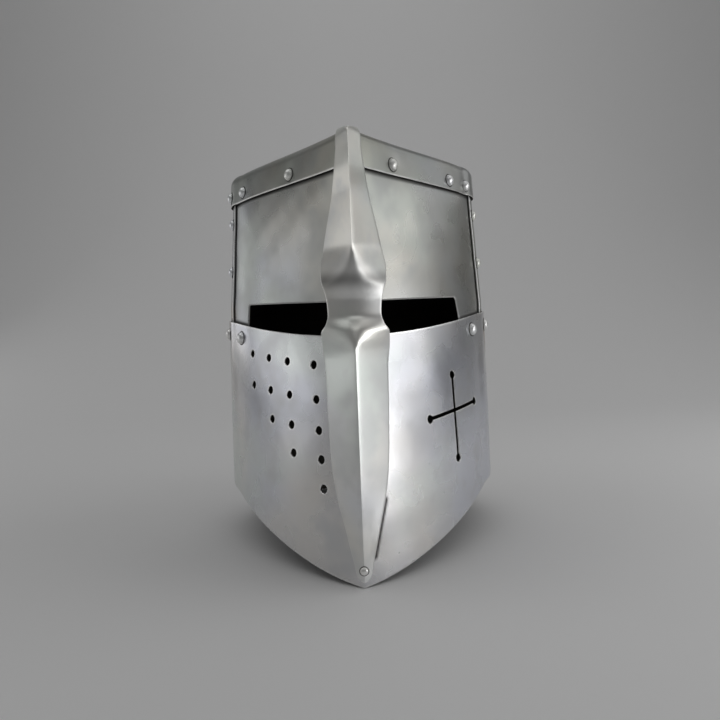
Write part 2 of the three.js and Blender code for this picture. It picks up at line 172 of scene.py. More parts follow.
# Metres of sheet from one position round the helm to the next, at the front and at the rear
FRONT_SPAN = 0.13
REAR_SPAN = 0.15

# Marks on the steel, in millimetres: reach of the worn edges with their painted highlight, of the
# painted shadow at the laps, and of the stains
EDGE_REACH = 1.0
LAP_SHADE_REACH = 2.6
STAIN_REACH = 14.0
# Stains: position, height in millimetres, and how many laps the plate stands out
STAINS = ((0.93, 156.0, 2), (0.95, 147.0, 2), (-0.9, 176.0, 1))
# Stands for no line at all: a point too far off to mark anything
FAR_OFF = [(9.0, 9.0, 9.0)]

# Angles in degrees past which an edge shows as sharp
SHARP = 28.0
SHARP_BAR = 34.0
SHARP_HEAD = 50.0


def length(name, text, value):
    return bpy.props.FloatProperty(
        name=name, description=text, default=value * MM, min=0.0, unit="LENGTH", precision=4
    )


def colour(name, text, value):
    return bpy.props.FloatVectorProperty(
        name=name, description=text, default=value, size=3, min=0.0, max=1.0, subtype="COLOR"
    )


class HelmSizes(bpy.types.PropertyGroup):
    """Sizes of the helm's plates, slits, breaths and rivets"""

    height: length("Height", "Foot to the crown's flat", 287.5)
    width: length("Width", "Inside the sheet at the widest", 204.0)
    front_depth: length("Front depth", "Widest station forward to the crease", 135.4)
    back_depth: length("Back depth", "Widest station back to the rear", 112.0)
    sheet: length("Sheet", "Thickness of the plates", 1.5)
    gap: length("Gap", "Air between two lapped plates", 0.35)
    band_height: length("Band", "Height of the crown's turned-down band", 23.5)
    shoulder: length("Shoulder", "Radius of the crown's rounded edge", 6.0)
    seam_height: length("Seam", "Height of the lower plates' upper edge at the sides", 172.4)
    seam_dip: length("Seam dip", "Drop of that edge toward the crease", 14.6)
    seam_lap: length("Seam lap", "How far the upper plates reach below it", 15.0)
    side_arch: length("Side arch", "Rise of the lower edge at the sides", 43.5)
    slit_top: length("Slit top", "Upper edge of the eye slits at the bar", 179.3)
    slit_rise: length("Slit rise", "Rise of that edge toward the sides", 4.5)
    breath: length("Breath", "Width of a round breath", 5.6)
    breath_drop: length("Breath drop", "First row below the seam", 19.8)
    breath_pitch: length("Breath pitch", "Step between the rows", 20.15)
    cross_end: length("Cross end", "Width of the cross breath's round ends", 6.0)
    cross_slot: length("Cross slot", "Width of the cross breath's slots", 2.5)
    bar_half: length("Bar", "Largest half width of the nasal bar", 22.0)
    bar_ridge: length("Bar ridge", "Largest height of its ridge", 6.0)
    bar_sheet: length("Bar sheet", "Thickness of the bar", 1.8)
    sprung: length("Sprung edge", "How far the bar's left edge stands off the plate near its foot", 0.9)
    rivet: length("Rivet", "Width of a rivet's head", 8.0)
    corner_rivet: length("Corner rivet", "Width of the rivets at the eye level's corners", 9.2)
    bar_rivet: length("Bar rivet", "Width of the bar's two rivets", 5.4)
    rim: length("Rim", "Softened edge of the cut plates", 0.5)
    corner: length("Corner", "How far the crease is set back where it turns onto the crown", 8.0)
    dent: length("Dent", "How far the sheet is drawn in at a rivet", 0.3)
    uneven: length("Uneven", "Waviness of the beaten sheet", 0.14)


class HelmSteel(bpy.types.PropertyGroup):
    """Colours and polish of the steel"""

    band: colour("Band", "Crown and band", (0.42, 0.425, 0.405))
    upper: colour("Upper plates", "Brow and upper back", (0.47, 0.475, 0.465))
    face: colour("Face plate", "Lower front plate", (0.73, 0.73, 0.745))
    back: colour("Lower back", "Lower rear plate", (0.68, 0.68, 0.69))
    bar: colour("Nasal bar", "Ridged bar", (0.82, 0.825, 0.82))
    rivet: colour("Rivets", "Rivet heads", (0.93, 0.93, 0.91))
    tarnish: colour("Tarnish", "Warm stain in places", (0.42, 0.30, 0.20))
    # Colour of the painted shadow under laps and round rivet feet, and of the painted shade in the
    # bar's hollow
    painted_shade: colour("Shade", "Dark line beside rivets and laps", (0.045, 0.042, 0.04))
    # Colour of the painted shade on faces looking into the helm and on the walls of cut openings
    inside: colour("Inside", "Shaded inside of the helm", (0.05, 0.046, 0.042))
    # How strongly the painted shade darkens the bar's hollow under the brow
    hollow: bpy.props.FloatProperty(
        name="Hollow", description="How dull the hollow of the bar is", default=0.6, min=0.0, max=1.0,
        subtype="FACTOR",
    )
    polish: bpy.props.FloatProperty(
        name="Roughness", description="Roughness of the satin polish", default=0.26, min=0.0, max=1.0,
        subtype="FACTOR",
    )


class HelmStage(bpy.types.PropertyGroup):
    """Floor, light and camera"""

    floor: colour("Floor", "Plain pale floor", (0.80, 0.80, 0.80))
    surround: colour("Surround", "Soft grey round the stage", (0.15, 0.15, 0.15))
    camera_place: bpy.props.FloatVectorProperty(
        name="Camera", description="Place of the camera", default=(0.00456, -0.50556, 0.1624), size=3,
        subtype="TRANSLATION", unit="LENGTH",
    )
    camera_turn: bpy.props.FloatVectorProperty(
        name="Turn", description="Yaw, pitch and roll of the camera", size=3, subtype="EULER",
        default=(math.radians(0.33), math.radians(-2.945), math.radians(-2.21)),
    )
    lens: bpy.props.FloatProperty(
        name="Lens", description="Focal length", default=31.09, min=1.0, unit="CAMERA"
    )


def sizes():
    return bpy.context.scene.helm_sizes


def steel():
    return bpy.context.scene.helm_steel


def lap():
    """How far each lapped plate stands out from the one below it"""
    return sizes().sheet + sizes().gap


def ramp(low, high, value):
    """Straight step from 0 at low to 1 at high"""
    return np.clip((value - low) / (high - low), 0.0, 1.0)


def ease(low, high, value):
    """Soft step from 0 at low to 1 at high"""
    share = ramp(low, high, value)
    return share * share * (3.0 - 2.0 * share)


def bezier(a, b, c, d, t):
    """Cubic curve from a to d, drawn toward b and c"""
    m = 1.0 - t
    return m * m * m * a + 3 * m * m * t * b + 3 * m * t * t * c + t * t * t * d


def section(z, offset):
    """One horizontal section of the helm, moved outward by an offset"""
    s = sizes()
    rows = np.array(SECTIONS)
    share = np.asarray(z) / s.height
    half, front, back, crease, front_pull, side_pull = (
        np.interp(share, rows[:, 0], rows[:, k]) for k in range(1, 7)
    )
    crease = np.radians(crease)
    return {
        "crease": crease,
        "half": half * s.width + offset,
        "front": front * s.front_depth + offset / np.sin(crease),
        "back": back * s.back_depth + offset,
        "front_pull": front_pull,
        "side_pull": side_pull,
    }


def middle():
    """How far the widest station stands from the box's middle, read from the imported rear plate"""
    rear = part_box("lower_back_plate")[1].y
    return rear - (sizes().back_depth + 2 * lap() + sizes().sheet)


def skin(u, z, offset):
    """Points at position u round the helm and height z, at an offset from the inner skin"""
    u, z, offset = np.broadcast_arrays(*(np.asarray(value, float) for value in (u, z, offset)))
    row = section(z, offset)
    v = np.abs(u)
    pull = row["front_pull"] * row["half"]
    t = np.clip(v, 0.0, 1.0)
    x_front = bezier(0.0, pull, row["half"], row["half"], t)
    pulled = pull / np.tan(row["crease"]) - row["front"]
    y_front = bezier(-row["front"], pulled, -row["side_pull"] * row["front"], 0.0, t)
    k = np.clip(v - 1.0, 0.0, 1.0)
    x_back = bezier(row["half"], row["half"], QUARTER_ROUND * row["half"], 0.0, k)
    y_back = bezier(0.0, QUARTER_ROUND * row["back"], row["back"], row["back"], k)
    x = np.where(v <= 1.0, x_front, x_back) * np.sign(u)
    y = np.where(v <= 1.0, y_front, y_back)
    return np.stack([x, y + middle(), z], axis=-1)


def square_to(u, z, offset):
    """Outward direction of a plate whose offset changes round the helm"""
    step = 0.012
    along = skin(u + step, z, offset(u + step)) - skin(u - step, z, offset(u - step))
    up = skin(u, z + MM, offset(u)) - skin(u, z - MM, offset(u))
    out = np.cross(along, up)
    return out / np.linalg.norm(out, axis=-1, keepdims=True)


def span_at(u, z):
    """Metres of sheet for one step of position round the helm, at a place on it"""
    step, sheet = 0.01, sizes().sheet
    return np.linalg.norm(skin(u + step, z, sheet) - skin(u - step, z, sheet), axis=-1) / (2 * step)


def spread(u, z):
    """How far out to the side a position lies, as a share of the half width"""
    return np.abs(skin(u, z, 0.0)[..., 0]) / section(z, 0.0)["half"]


def seam(u):
    """Height of the lower plates' upper edge"""
    s = sizes()
    inner = 1.0 - spread(u, s.seam_height) ** 2
    return s.seam_height - s.seam_dip * np.where(np.abs(u) < 1.0, inner, 0.0)


def foot(u):
    """Height of the helm's lower edge"""
    s = sizes()
    share = spread(u, 0.0)
    front = ARCH_SLANT * share + (1.0 - ARCH_SLANT) * share**2
    back = 1.0 - ease(1.0, FOOT_FLAT_START, np.abs(u))
    return s.side_arch * np.where(np.abs(u) <= 1.0, front, back)


def on_skin(u):
    """Inside offset of the brow plate"""
    return 0.0 * u


def on_brow(u):
    """Inside offset of the upper back plate"""
    return lap() + 0.0 * u


def over_brow(u):
    """Inside offset of the face plate and of the crown's band"""
    return lap() * (1.0 + ease(*STEP_UP, np.abs(u)))


def over_face(u):
    """Inside offset of the lower back plate"""
    return lap() * (3.0 - ease(*STEP_DOWN, np.abs(u)))


def nose_line(z, offset, rise):
    """Foremost line across the crease, set back where the sheet turns over onto the crown"""
    return sizes().corner * rise**2 - section(z, offset)["front"] + middle()


def held_back(points, z, offset, rise):
    """Rounds the crease off behind the nose line, more the further the sheet has turned over"""
    nose = nose_line(z, offset, rise)
    soft = 1.5 * MM * rise
    y = points[..., 1]
    points[..., 1] = (y + nose + np.sqrt((y - nose) ** 2 + soft**2)) / 2
    return points


def beaten(points, rivets=()):
    """Outward shift of hand-worked sheet: slow waves, and a shallow dent round every rivet"""
    s = sizes()
    x, y, z = points[..., 0], points[..., 1], points[..., 2]
    wave = (
        np.sin(61 * x + 38 * z + 1.3) * np.sin(47 * y - 29 * z + 0.4)
        + 0.45 * np.sin(133 * x - 88 * z + 2.1) * np.sin(97 * y + 141 * z)
        + 0.15 * np.sin(241 * z + 190 * x + 0.7) * np.sin(210 * x - 170 * y + 1.9)
    )
    shift = s.uneven * wave
    for _, place, _, size in rivets:
        near = np.sum((points - place) ** 2, axis=-1)
        shift = shift - s.dent * np.exp(-near / (0.85 * size) ** 2)
    return shift


def rounded(distance):
    """How far a surface falls away at a distance from its softened edge"""
    rim = sizes().rim
    inner = np.clip(rim - distance, 0.0, rim)
    return rim - np.sqrt(rim**2 - inner**2)


def smooth_shaded(made, sharp=SHARP):
    """Smooth shading, with sharp edges past an angle in degrees"""
    made.data.shade_smooth()
    made.data.set_sharp_from_angle(angle=math.radians(sharp))


def mesh_object(name, points, faces):
    mesh = bpy.data.meshes.new(name)
    mesh.from_pydata([tuple(p) for p in points], [], faces)
    mesh.validate()
    mesh.update()
    made = bpy.data.objects.new(name, mesh)
    bpy.context.scene.collection.objects.link(made)
    return made


def closed_object(name, points, faces, sharp=SHARP):
    """A closed mesh, smoothly shaded, with its faces turned outward"""
    made = mesh_object(name, points, faces)
    body = bmesh.new()
    body.from_mesh(made.data)
    bmesh.ops.recalc_face_normals(body, faces=body.faces)
    body.to_mesh(made.data)
    body.free()
    smooth_shaded(made, sharp)
    return made


def grid_faces(columns, rows, start, ring):
    """Quads of a grid whose points run row by row within each column"""
    quads = []
    for i in range(columns if ring else columns - 1):
        a, b = start + i * rows, start + ((i + 1) % columns) * rows
        quads.extend((a + j, b + j, b + j + 1, a + j + 1) for j in range(rows - 1))
    return quads


def two_sides(outer, inner, ring):
    """Points and faces of two grids shaped (columns, rows, 3), the inner one's faces turned round"""
    columns, rows = outer.shape[:2]
    points = np.concatenate([outer.reshape(-1, 3), inner.reshape(-1, 3)])
    faces = grid_faces(columns, rows, 0, ring)
    faces += [face[::-1] for face in grid_faces(columns, rows, columns * rows, ring)]
    return points, faces


def shell(outer, inner):
    """Points and faces of a wall between two grids, closed all round its edge"""
    points, faces = two_sides(outer, inner, ring=False)
    columns, rows = outer.shape[:2]
    count = columns * rows
    for a in range(0, count - rows, rows):
        b = a + rows
        faces.append((a, count + a, count + b, b))
        faces.append((b - 1, b + rows - 1, count + b + rows - 1, count + b - 1))
    e = count - rows
    for j in range(rows - 1):
        faces.append((j, j + 1, count + j + 1, count + j))
        faces.append((e + j, count + e + j, count + e + j + 1, e + j + 1))
    return points, faces


def softened(low, high, count, soft):
    """Even marks from low to high, with three close to each end for the softened edge"""
    near = np.array([0.0, 0.08, 0.35]) * soft
    even = np.linspace(low + soft, high - soft, count)
    return np.concatenate([low + near, even, high - near[::-1]])


def lapped_plate(name, columns, rows, low, high, inside):
    """A lapped plate with softened edges, from its low line to its high line, at its inside offset"""
    s = sizes()
    u = columns[:, None]
    bottom, top = low(u), high(u)
    tall = top - bottom
    share = softened(0.0, 1.0, rows, s.rim / float(tall.mean()))[None, :]
    z = bottom + tall * share
    base = skin(u, z, inside(u) + 0.5 * s.sheet)
    shift = beaten(base, rivet_plan())
    fall = rounded(np.minimum(share, 1 - share) * tall)
    for end in (columns[0], columns[-1]):
        away = np.linalg.norm(base - skin(end, z, inside(u) + 0.5 * s.sheet), axis=-1)
        fall = np.maximum(fall, rounded(away))
    outer = skin(u, z, inside(u) + s.sheet + shift - fall)
    inner = skin(u, z, inside(u) + shift + fall)
    return closed_object(name, *shell(outer, inner))


def front_marks(reach, count):
    """Positions across the front, closer beside the crease and at the side edges"""
    half = softened(0.0, reach, count, sizes().rim / FRONT_SPAN)[3:]
    side = np.concatenate([np.array([0.12, 0.3, 0.6]) * half[0], half])
    return np.concatenate([-side[::-1], [0.0], side])


def back_marks(start, count):
    """Positions round the rear, closer at the side edges"""
    half = np.concatenate([softened(start, 2.0, count, sizes().rim / REAR_SPAN)[:-3], [2.0]])
    return np.concatenate([half, -half[:-1][::-1]])


def finish_piece(made, nodes, material):
    """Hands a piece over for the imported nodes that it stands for"""
    made.data.materials.clear()
    made.data.materials.append(material)
    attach(made, "root")
    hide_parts(*nodes)


def socket(tree, name, kind, inward=True):
    return tree.interface.new_socket(
        name=name, in_out="INPUT" if inward else "OUTPUT", socket_type=kind
    ).identifier


def scatter_tree(name, cutting):
    """Sets a pattern piece on marked points; cuts it out of a plate where asked"""
    tree = bpy.data.node_groups.new(name, "GeometryNodeTree")
    kinds = {
        "Geometry": "Geometry", "Places": "Object", "Pattern": "Object", "Uneven": "Float",
        "Seed": "Int", "Steel": "Material",
    }
    keys = {key: socket(tree, key, "NodeSocket" + kind) for key, kind in kinds.items()}
    socket(tree, "Geometry", "NodeSocketGeometry", inward=False)
    node = tree.nodes.new
    given, result = node("NodeGroupInput"), node("NodeGroupOutput")
    places, pattern = node("GeometryNodeObjectInfo"), node("GeometryNodeObjectInfo")
    axis, size = node("GeometryNodeInputNamedAttribute"), node("GeometryNodeInputNamedAttribute")
    axis.data_type, size.data_type = "FLOAT_VECTOR", "FLOAT"
    axis.inputs["Name"].default_value, size.inputs["Name"].default_value = "axis", "size"
    turn, vary = node("FunctionNodeAlignRotationToVector"), node("FunctionNodeRandomValue")
    turn.axis, vary.data_type = "Z", "FLOAT"
    low, high, scale = node("ShaderNodeMath"), node("ShaderNodeMath"), node("ShaderNodeMath")
    low.operation, high.operation, scale.operation = "SUBTRACT", "ADD", "MULTIPLY"
    low.inputs[0].default_value = high.inputs[0].default_value = 1.0
    put, real = node("GeometryNodeInstanceOnPoints"), node("GeometryNodeRealizeInstances")
    coat = node("GeometryNodeSetMaterial")
    wires = [
        (given, "Places", places, "Object"),
        (given, "Pattern", pattern, "Object"),
        (given, "Uneven", low, 1),
        (given, "Uneven", high, 1),
        (low, 0, vary, 2),
        (high, 0, vary, 3),
        (given, "Seed", vary, "Seed"),
        (size, 0, scale, 0),
        (vary, 1, scale, 1),
        (axis, 0, turn, "Vector"),
        (places, "Geometry", put, "Points"),
        (pattern, "Geometry", put, "Instance"),
        (turn, 0, put, "Rotation"),
        (scale, 0, put, "Scale"),
        (put, 0, real, 0),
        (given, "Steel", coat, "Material"),
        (coat, 0, result, 0),
    ]
    if cutting:
        cut = node("GeometryNodeMeshBoolean")
        cut.operation, cut.solver = "DIFFERENCE", "EXACT"
        wires += [(given, "Geometry", cut, "Mesh 1"), (real, 0, cut, "Mesh 2"), (cut, 0, coat, 0)]
    else:
        wires.append((real, 0, coat, 0))
    for start, out, end, into in wires:
        tree.links.new(start.outputs[out], end.inputs[into])
    return tree, keys


def places_object(name, points, axes, scale):
    """Marked points, each with its outward direction and size"""
    mesh = bpy.data.meshes.new(name)
    mesh.from_pydata([tuple(p) for p in points], [], [])
    axis = mesh.attributes.new("axis", "FLOAT_VECTOR", "POINT")
    axis.data.foreach_set("vector", np.asarray(axes, np.float32).ravel())
    size = mesh.attributes.new("size", "FLOAT", "POINT")
    size.data.foreach_set("value", np.asarray(scale, np.float32))
    made = bpy.data.objects.new(name, mesh)
    bpy.context.scene.collection.objects.link(made)
    return made


def turned_pattern(name, profile, sides, sharp=SHARP):
    """A closed solid turned about Z from (radius, height) pairs that start and end on the axis"""
    points, rings = [], []
    for radius, height in profile:
        count = sides if radius > 0 else 1
        rings.append([len(points) + i for i in range(count)])
        for i in range(count):
            a = 2 * math.pi * i / sides
            points.append((radius * math.cos(a), radius * math.sin(a), height))
    faces = []
    for a, b in zip(rings, rings[1:]):
        for i in range(sides):
            n = (i + 1) % sides
            if len(a) == 1:
                faces.append((a[0], b[i], b[n]))
            elif len(b) == 1:
                faces.append((a[i], b[0], a[n]))
            else:
                faces.append((a[i], b[i], b[n], a[n]))
    return closed_object(name, points, faces, sharp)


def keep_result(made, *helpers):
    """Keeps what an object's modifiers make of it as its plain mesh, and removes their helpers"""
    bpy.context.view_layer.update()
    graph = bpy.context.evaluated_depsgraph_get()
    mesh = bpy.data.meshes.new_from_object(made.evaluated_get(graph), depsgraph=graph)
    made.modifiers.clear()
    made.data = mesh
    for helper in helpers:
        bpy.data.objects.remove(helper)


def apply_tree(made, cutting, values):
    """Runs a scattering tree on an object with named inputs"""
    tree, keys = scatter_tree(made.name, cutting)
    layer = made.modifiers.new(tree.name, "NODES")
    layer.node_group = tree
    for key, value in values.items():
        layer[keys[key]] = value
    keep_result(made, values["Places"], values["Pattern"])


def cut_with(plate, cutters):
    """Cuts single openings out of a plate"""
    for cutter in cutters:
        layer = plate.modifiers.new("opening", "BOOLEAN")
        layer.operation, layer.solver, layer.object = "DIFFERENCE", "EXACT", cutter
    keep_result(plate, *cutters)


def outline_cutter(outline, inside, above, broken):
    """A cutter from an outline of (u, z) points that breaks the outer edge by a given width

    The outline runs along its upper side and back along its lower side, in the same number of steps.
    """
    s = sizes()
    u, z = np.array(outline).T
    across = span_at(u, z)
    flat = np.stack([u * across, z], axis=-1)
    ahead = np.roll(flat, -1, axis=0) - np.roll(flat, 1, axis=0)
    out = np.stack([ahead[:, 1], -ahead[:, 0]], axis=-1)
    out /= np.linalg.norm(out, axis=-1, keepdims=True)
    area = np.sum(flat[:, 0] * np.roll(flat[:, 1], -1) - np.roll(flat[:, 0], -1) * flat[:, 1])
    out *= np.sign(area)
    starts = s.sheet - min(broken, 0.5 * s.sheet)
    layers = ((-2.0 * MM, 0.0), (starts, 0.0), (s.sheet, broken), (s.sheet + above, 1.6 * broken))
    rings = []
    for depth, grow in layers:
        moved = flat + out * grow
        rings.append(skin(moved[:, 0] / across, moved[:, 1], inside(u) + depth))
    points = np.concatenate(rings)
    n, last = len(outline), len(layers) - 1
    facing = [(i, i + 1, n - 2 - i, n - 1 - i) for i in range(n // 2 - 1)]
    faces = [face[::-1] for face in facing] + [tuple(last * n + i for i in face) for face in facing]
    for a in range(0, last * n, n):
        faces += [(a + i, a + (i + 1) % n, a + n + (i + 1) % n, a + n + i) for i in range(n)]
    return closed_object("cutter", points, faces)


def point_tree(points):
    tree = KDTree(len(points))
    for i, p in enumerate(points):
        tree.insert(p, i)
    tree.balance()
    return tree


def mark_distance(mesh, name, lines, reach):
    """Stores how near each vertex lies to some lines: 1 close to one, 0 at a reach in millimetres"""
    tree = point_tree(np.concatenate([np.asarray(line).reshape(-1, 3) for line in (*lines, FAR_OFF)]))
    steep = 1.6
    near = [
        min(1.0, max(0.0, steep * (1 - tree.find(v.co)[2] / (reach * MM)))) for v in mesh.vertices
    ]
    layer = mesh.attributes.get(name) or mesh.attributes.new(name, "FLOAT", "POINT")
    layer.data.foreach_set("value", np.array(near, np.float32))


def rivet_plan():
    """Name, place, outward direction and width of every rivet"""
    s = sizes()
    plan = []

    def add(name, u, z, outer, width=s.rivet):
        plan.append((name, skin(u, z, outer(u) + s.sheet), square_to(u, z, outer), width))

    for i, u in enumerate(BAND_RIVETS):
        add(f"rivet_band_{i + 1}", u, s.height - BAND_DROP * MM, over_brow)
    upper, lower = UPPER_BACK_START + SEAM_INSET, LOWER_BACK_START + SEAM_INSET
    for side, sign in (("right", -1), ("left", 1)):
        for i, share in enumerate(UPPER_SEAM_RIVETS):
            add(f"rivet_seam_{side}_{i + 1}", sign * upper, share * s.height, on_brow)
        for i, u in enumerate((CORNER_RIVET, upper)):
            z = float(seam(u)) - CORNER_DROP * MM
            add(f"rivet_corner_{side}_{i + 1}", sign * u, z, over_brow, s.corner_rivet)
        for i, u in enumerate(REAR_RIVETS):
            add(f"rivet_rear_{side}_{i + 1}", sign * u, float(seam(u)) - s.seam_lap / 2, over_face)
        for i, share in enumerate(LOWER_SEAM_RIVETS):
            add(f"rivet_side_{side}_{i + 1}", sign * lower, share * s.height, over_face)
    for name, axis in (("rivet_bar_foot", (0, -1, 0)), ("rivet_bar_top", (0, 0, 1))):
        low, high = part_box(name)
        place, axis = (low + high) / 2, Vector(axis)
        if axis.z:
            place.z = high.z - BAR_SEAT * MM
        else:
            place.y = low.y + BAR_SEAT * MM
        plan.append((name, np.array(place), np.array(axis), s.bar_rivet))
    return plan


def steel_material(name, tint, rough):
    """Satin steel: soft blotches, fine grain, worn edges with a painted highlight, painted shadow at
    the laps and painted shade inside
    """
    look = steel()
    made = bpy.data.materials.new(name)
    made.use_nodes = True
    nodes, links = made.node_tree.nodes, made.node_tree.links
    nodes.clear()
    out, shader = nodes.new("ShaderNodeOutputMaterial"), nodes.new("ShaderNodeBsdfPrincipled")
    links.new(shader.outputs[0], out.inputs[0])
    shader.inputs["Metallic"].default_value = 1.0
    place = nodes.new("ShaderNodeTexCoord")

    def feed(target, value):
        if isinstance(value, (int, float, tuple)):
            target.default_value = value
        else:
            links.new(value, target)

    def noise(scale, detail, seed):
        shift, field = nodes.new("ShaderNodeMapping"), nodes.new("ShaderNodeTexNoise")
        shift.inputs["Location"].default_value = (seed, seed * 0.7, seed * 1.3)
        field.inputs["Scale"].default_value = scale
        field.inputs["Detail"].default_value = detail
        field.inputs["Roughness"].default_value = 0.5
        links.new(place.outputs["Object"], shift.inputs["Vector"])
        links.new(shift.outputs[0], field.inputs["Vector"])
        return field.outputs["Fac"]

    def between(value, low, high, to_low, to_high):
        span = nodes.new("ShaderNodeMapRange")
        span.interpolation_type = "SMOOTHSTEP"
        limits = {"From Min": low, "From Max": high, "To Min": to_low, "To Max": to_high}
        for key, number in limits.items():
            span.inputs[key].default_value = number
        links.new(value, span.inputs["Value"])
        return span.outputs[0]

    def blend(factor, a, b):
        mixer = nodes.new("ShaderNodeMix")
        mixer.data_type = "RGBA"
        feed(mixer.inputs["Factor"], factor)
        feed(mixer.inputs[6], a)
        feed(mixer.inputs[7], b)
        return mixer.outputs[2]

    def attribute(key):
        reader = nodes.new("ShaderNodeAttribute")
        reader.attribute_name = key
        return reader.outputs["Fac"]

    def maths(kind, a, b):
        node = nodes.new("ShaderNodeMath")
        node.operation = kind
        feed(node.inputs[0], a)
        feed(node.inputs[1], b)
        return node.outputs[0]

    def shifted(red, green, blue):
        return (tint[0] * red, tint[1] * green, tint[2] * blue, 1.0)

    broad, blotch, cloud = noise(9.0, 2.0, 2.0), noise(34.0, 2.0, 7.0), noise(90.0, 2.0, 5.0)
    green, lapped, inside = noise(16.0, 2.0, 13.0), attribute("lap"), attribute("inside")
    cool, warm, painted_shade = shifted(0.96, 0.98, 1.04), shifted(1.04, 1.01, 0.95), (*look.painted_shade, 1.0)
    shade = blend(between(broad, 0.36, 0.64, 0.0, 1.0), cool, warm)
    shade = blend(between(green, 0.45, 0.7, 0.0, 0.8), shade, shifted(0.97, 1.02, 0.97))
    shade = blend(between(blotch, 0.46, 0.74, 0.0, 0.75), shade, shifted(0.84, 0.85, 0.85))
    shade = blend(between(cloud, 0.52, 0.72, 0.0, 0.35), shade, shifted(0.86, 0.86, 0.86))
    stain = maths("MULTIPLY", attribute("stain"), between(blotch, 0.25, 0.55, 0.5, 1.0))
    shade = blend(stain, shade, (*look.tarnish, 1.0))
    # Painted shade in the bar's hollow under the brow
    shade = blend(maths("MULTIPLY", attribute("hollow"), look.hollow), shade, painted_shade)
    # Painted shadow under laps and round rivet feet
    shade = blend(maths("MULTIPLY", lapped, 0.92), shade, painted_shade)
    # Worn edges, brightened further with a painted highlight
    shade = blend(maths("MULTIPLY", attribute("edge"), 0.8), shade, (0.95, 0.95, 0.94, 1.0))
    # Painted shade on faces looking into the helm and on cut walls
    shade = blend(inside, shade, (*look.inside, 1.0))
    links.new(shade, shader.inputs["Base Color"])
    worn = between(blotch, 0.3, 0.75, rough - 0.03, rough + 0.06)
    for shadowed in (lapped, inside):
        worn = maths("ADD", worn, maths("MULTIPLY", shadowed, 0.3))
    links.new(worn, shader.inputs["Roughness"])
    height = maths("ADD", noise(24.0, 1.0, 3.0), maths("MULTIPLY", cloud, 0.06))
    bump = nodes.new("ShaderNodeBump")
    bump.inputs["Strength"].default_value = 0.16
    bump.inputs["Distance"].default_value = 0.8 * MM
    links.new(height, bump.inputs["Height"])
    links.new(bump.outputs[0], shader.inputs["Normal"])
    return made


def ring_points(holes, share):
    """Points round the rim of every round hole, at a share of its width from its middle"""
    points, steps = [], 20
    for place, axis, width in holes:
        axis = Vector(axis)
        side = axis.orthogonal().normalized()
        other = axis.cross(side)
        for k in range(steps):
            a = 2 * math.pi * k / steps
            points.append(Vector(place) + (side * math.cos(a) + other * math.sin(a)) * width * share)
    return points


def mark_inside(mesh):
    """Stores which faces look into the helm"""
    count = len(mesh.polygons)
    normal, centre = np.empty(count * 3, np.float32), np.empty(count * 3, np.float32)
    mesh.polygons.foreach_get("normal", normal)
    mesh.polygons.foreach_get("center", centre)
    from_middle = centre.reshape(-1, 3) - np.array([0.0, middle(), 0.5 * sizes().height])
    facing = np.sum(normal.reshape(-1, 3) * from_middle, axis=1) / np.linalg.norm(from_middle, axis=1)
    layer = mesh.attributes.get("inside") or mesh.attributes.new("inside", "FLOAT", "FACE")
    walls = np.empty(count, np.float32)
    layer.data.foreach_get("value", walls)
    layer.data.foreach_set("value", np.maximum(walls, facing < -0.25).astype(np.float32))


def finish_plate(made, node, material, laps, edges):
    """Marks worn edges with a painted highlight, painted shadow at the laps, painted shade inside, and
    stains on a finished plate, and hands it over for its node
    """
    spots = [skin(u, z * MM, out * lap() + sizes().sheet) for u, z, out in STAINS]
    for name, lines, reach in (
        ("edge", edges, EDGE_REACH), ("lap", laps, LAP_SHADE_REACH), ("stain", spots, STAIN_REACH)
    ):
        mark_distance(made.data, name, lines, reach)
    # Faces looking into the helm get painted shade
    mark_inside(made.data)
    finish_piece(made, [node], material)


def rim_lines(columns, low, high, inside):
    """The outer lines of a plate's four edges"""
    s = sizes()
    lines = [skin(columns, edge(columns), inside(columns) + s.sheet) for edge in (low, high)]
    for end in (columns[0], columns[-1]):
        tall = np.linspace(float(low(np.array(end))), float(high(np.array(end))), 200)
        lines.append(skin(end, tall, inside(np.array(end)) + s.sheet))
    return lines


def true_normals(made, sheet):
    """Gives the faces round fresh cuts the normals of the uncut sheet, and marks the cuts' walls"""
    same_place, on_sheet = 1e-6, 0.02 * MM
    same_way, across = 0.93, 0.4
    smooth_shaded(made)
    vertices = [v.co for v in sheet.vertices]
    surface = BVHTree.FromPolygons(vertices, [tuple(p.vertices) for p in sheet.polygons])
    tree = point_tree(vertices)
    mesh = made.data
    fresh = [tree.find(v.co)[2] > same_place for v in mesh.vertices]
    near = {v for p in mesh.polygons if any(fresh[i] for i in p.vertices) for v in p.vertices}
    corner_normals = [Vector(n.vector) for n in sheet.corner_normals]
    normals = [(0.0, 0.0, 0.0)] * len(mesh.loops)
    walls = np.zeros(len(mesh.polygons), np.float32)
    for face in mesh.polygons:
        if not any(i in near for i in face.vertices):
            continue
        for loop in face.loop_indices:
            spot = mesh.vertices[mesh.loops[loop].vertex_index].co
            _, _, at, distance = surface.find_nearest(spot)
            host = sheet.polygons[at]
            weights = poly_3d_calc([vertices[i] for i in host.vertices], spot)
            normal = Vector((0.0, 0.0, 0.0))
            for weight, corner in zip(weights, host.loop_indices):
                normal += corner_normals[corner] * weight
            normal.normalize()
            facing = face.normal.dot(normal)
            on_skin_face = distance < on_sheet and facing > same_way
            normals[loop] = tuple(normal if on_skin_face else face.normal)
            if abs(facing) < across:
                walls[face.index] = 1.0
    mesh.normals_split_custom_set(normals)
    # Cut walls are marked for the painted shade of the helm's inside
    mesh.attributes.new("inside", "FLOAT", "FACE").data.foreach_set("value", walls)
    bpy.data.meshes.remove(sheet)


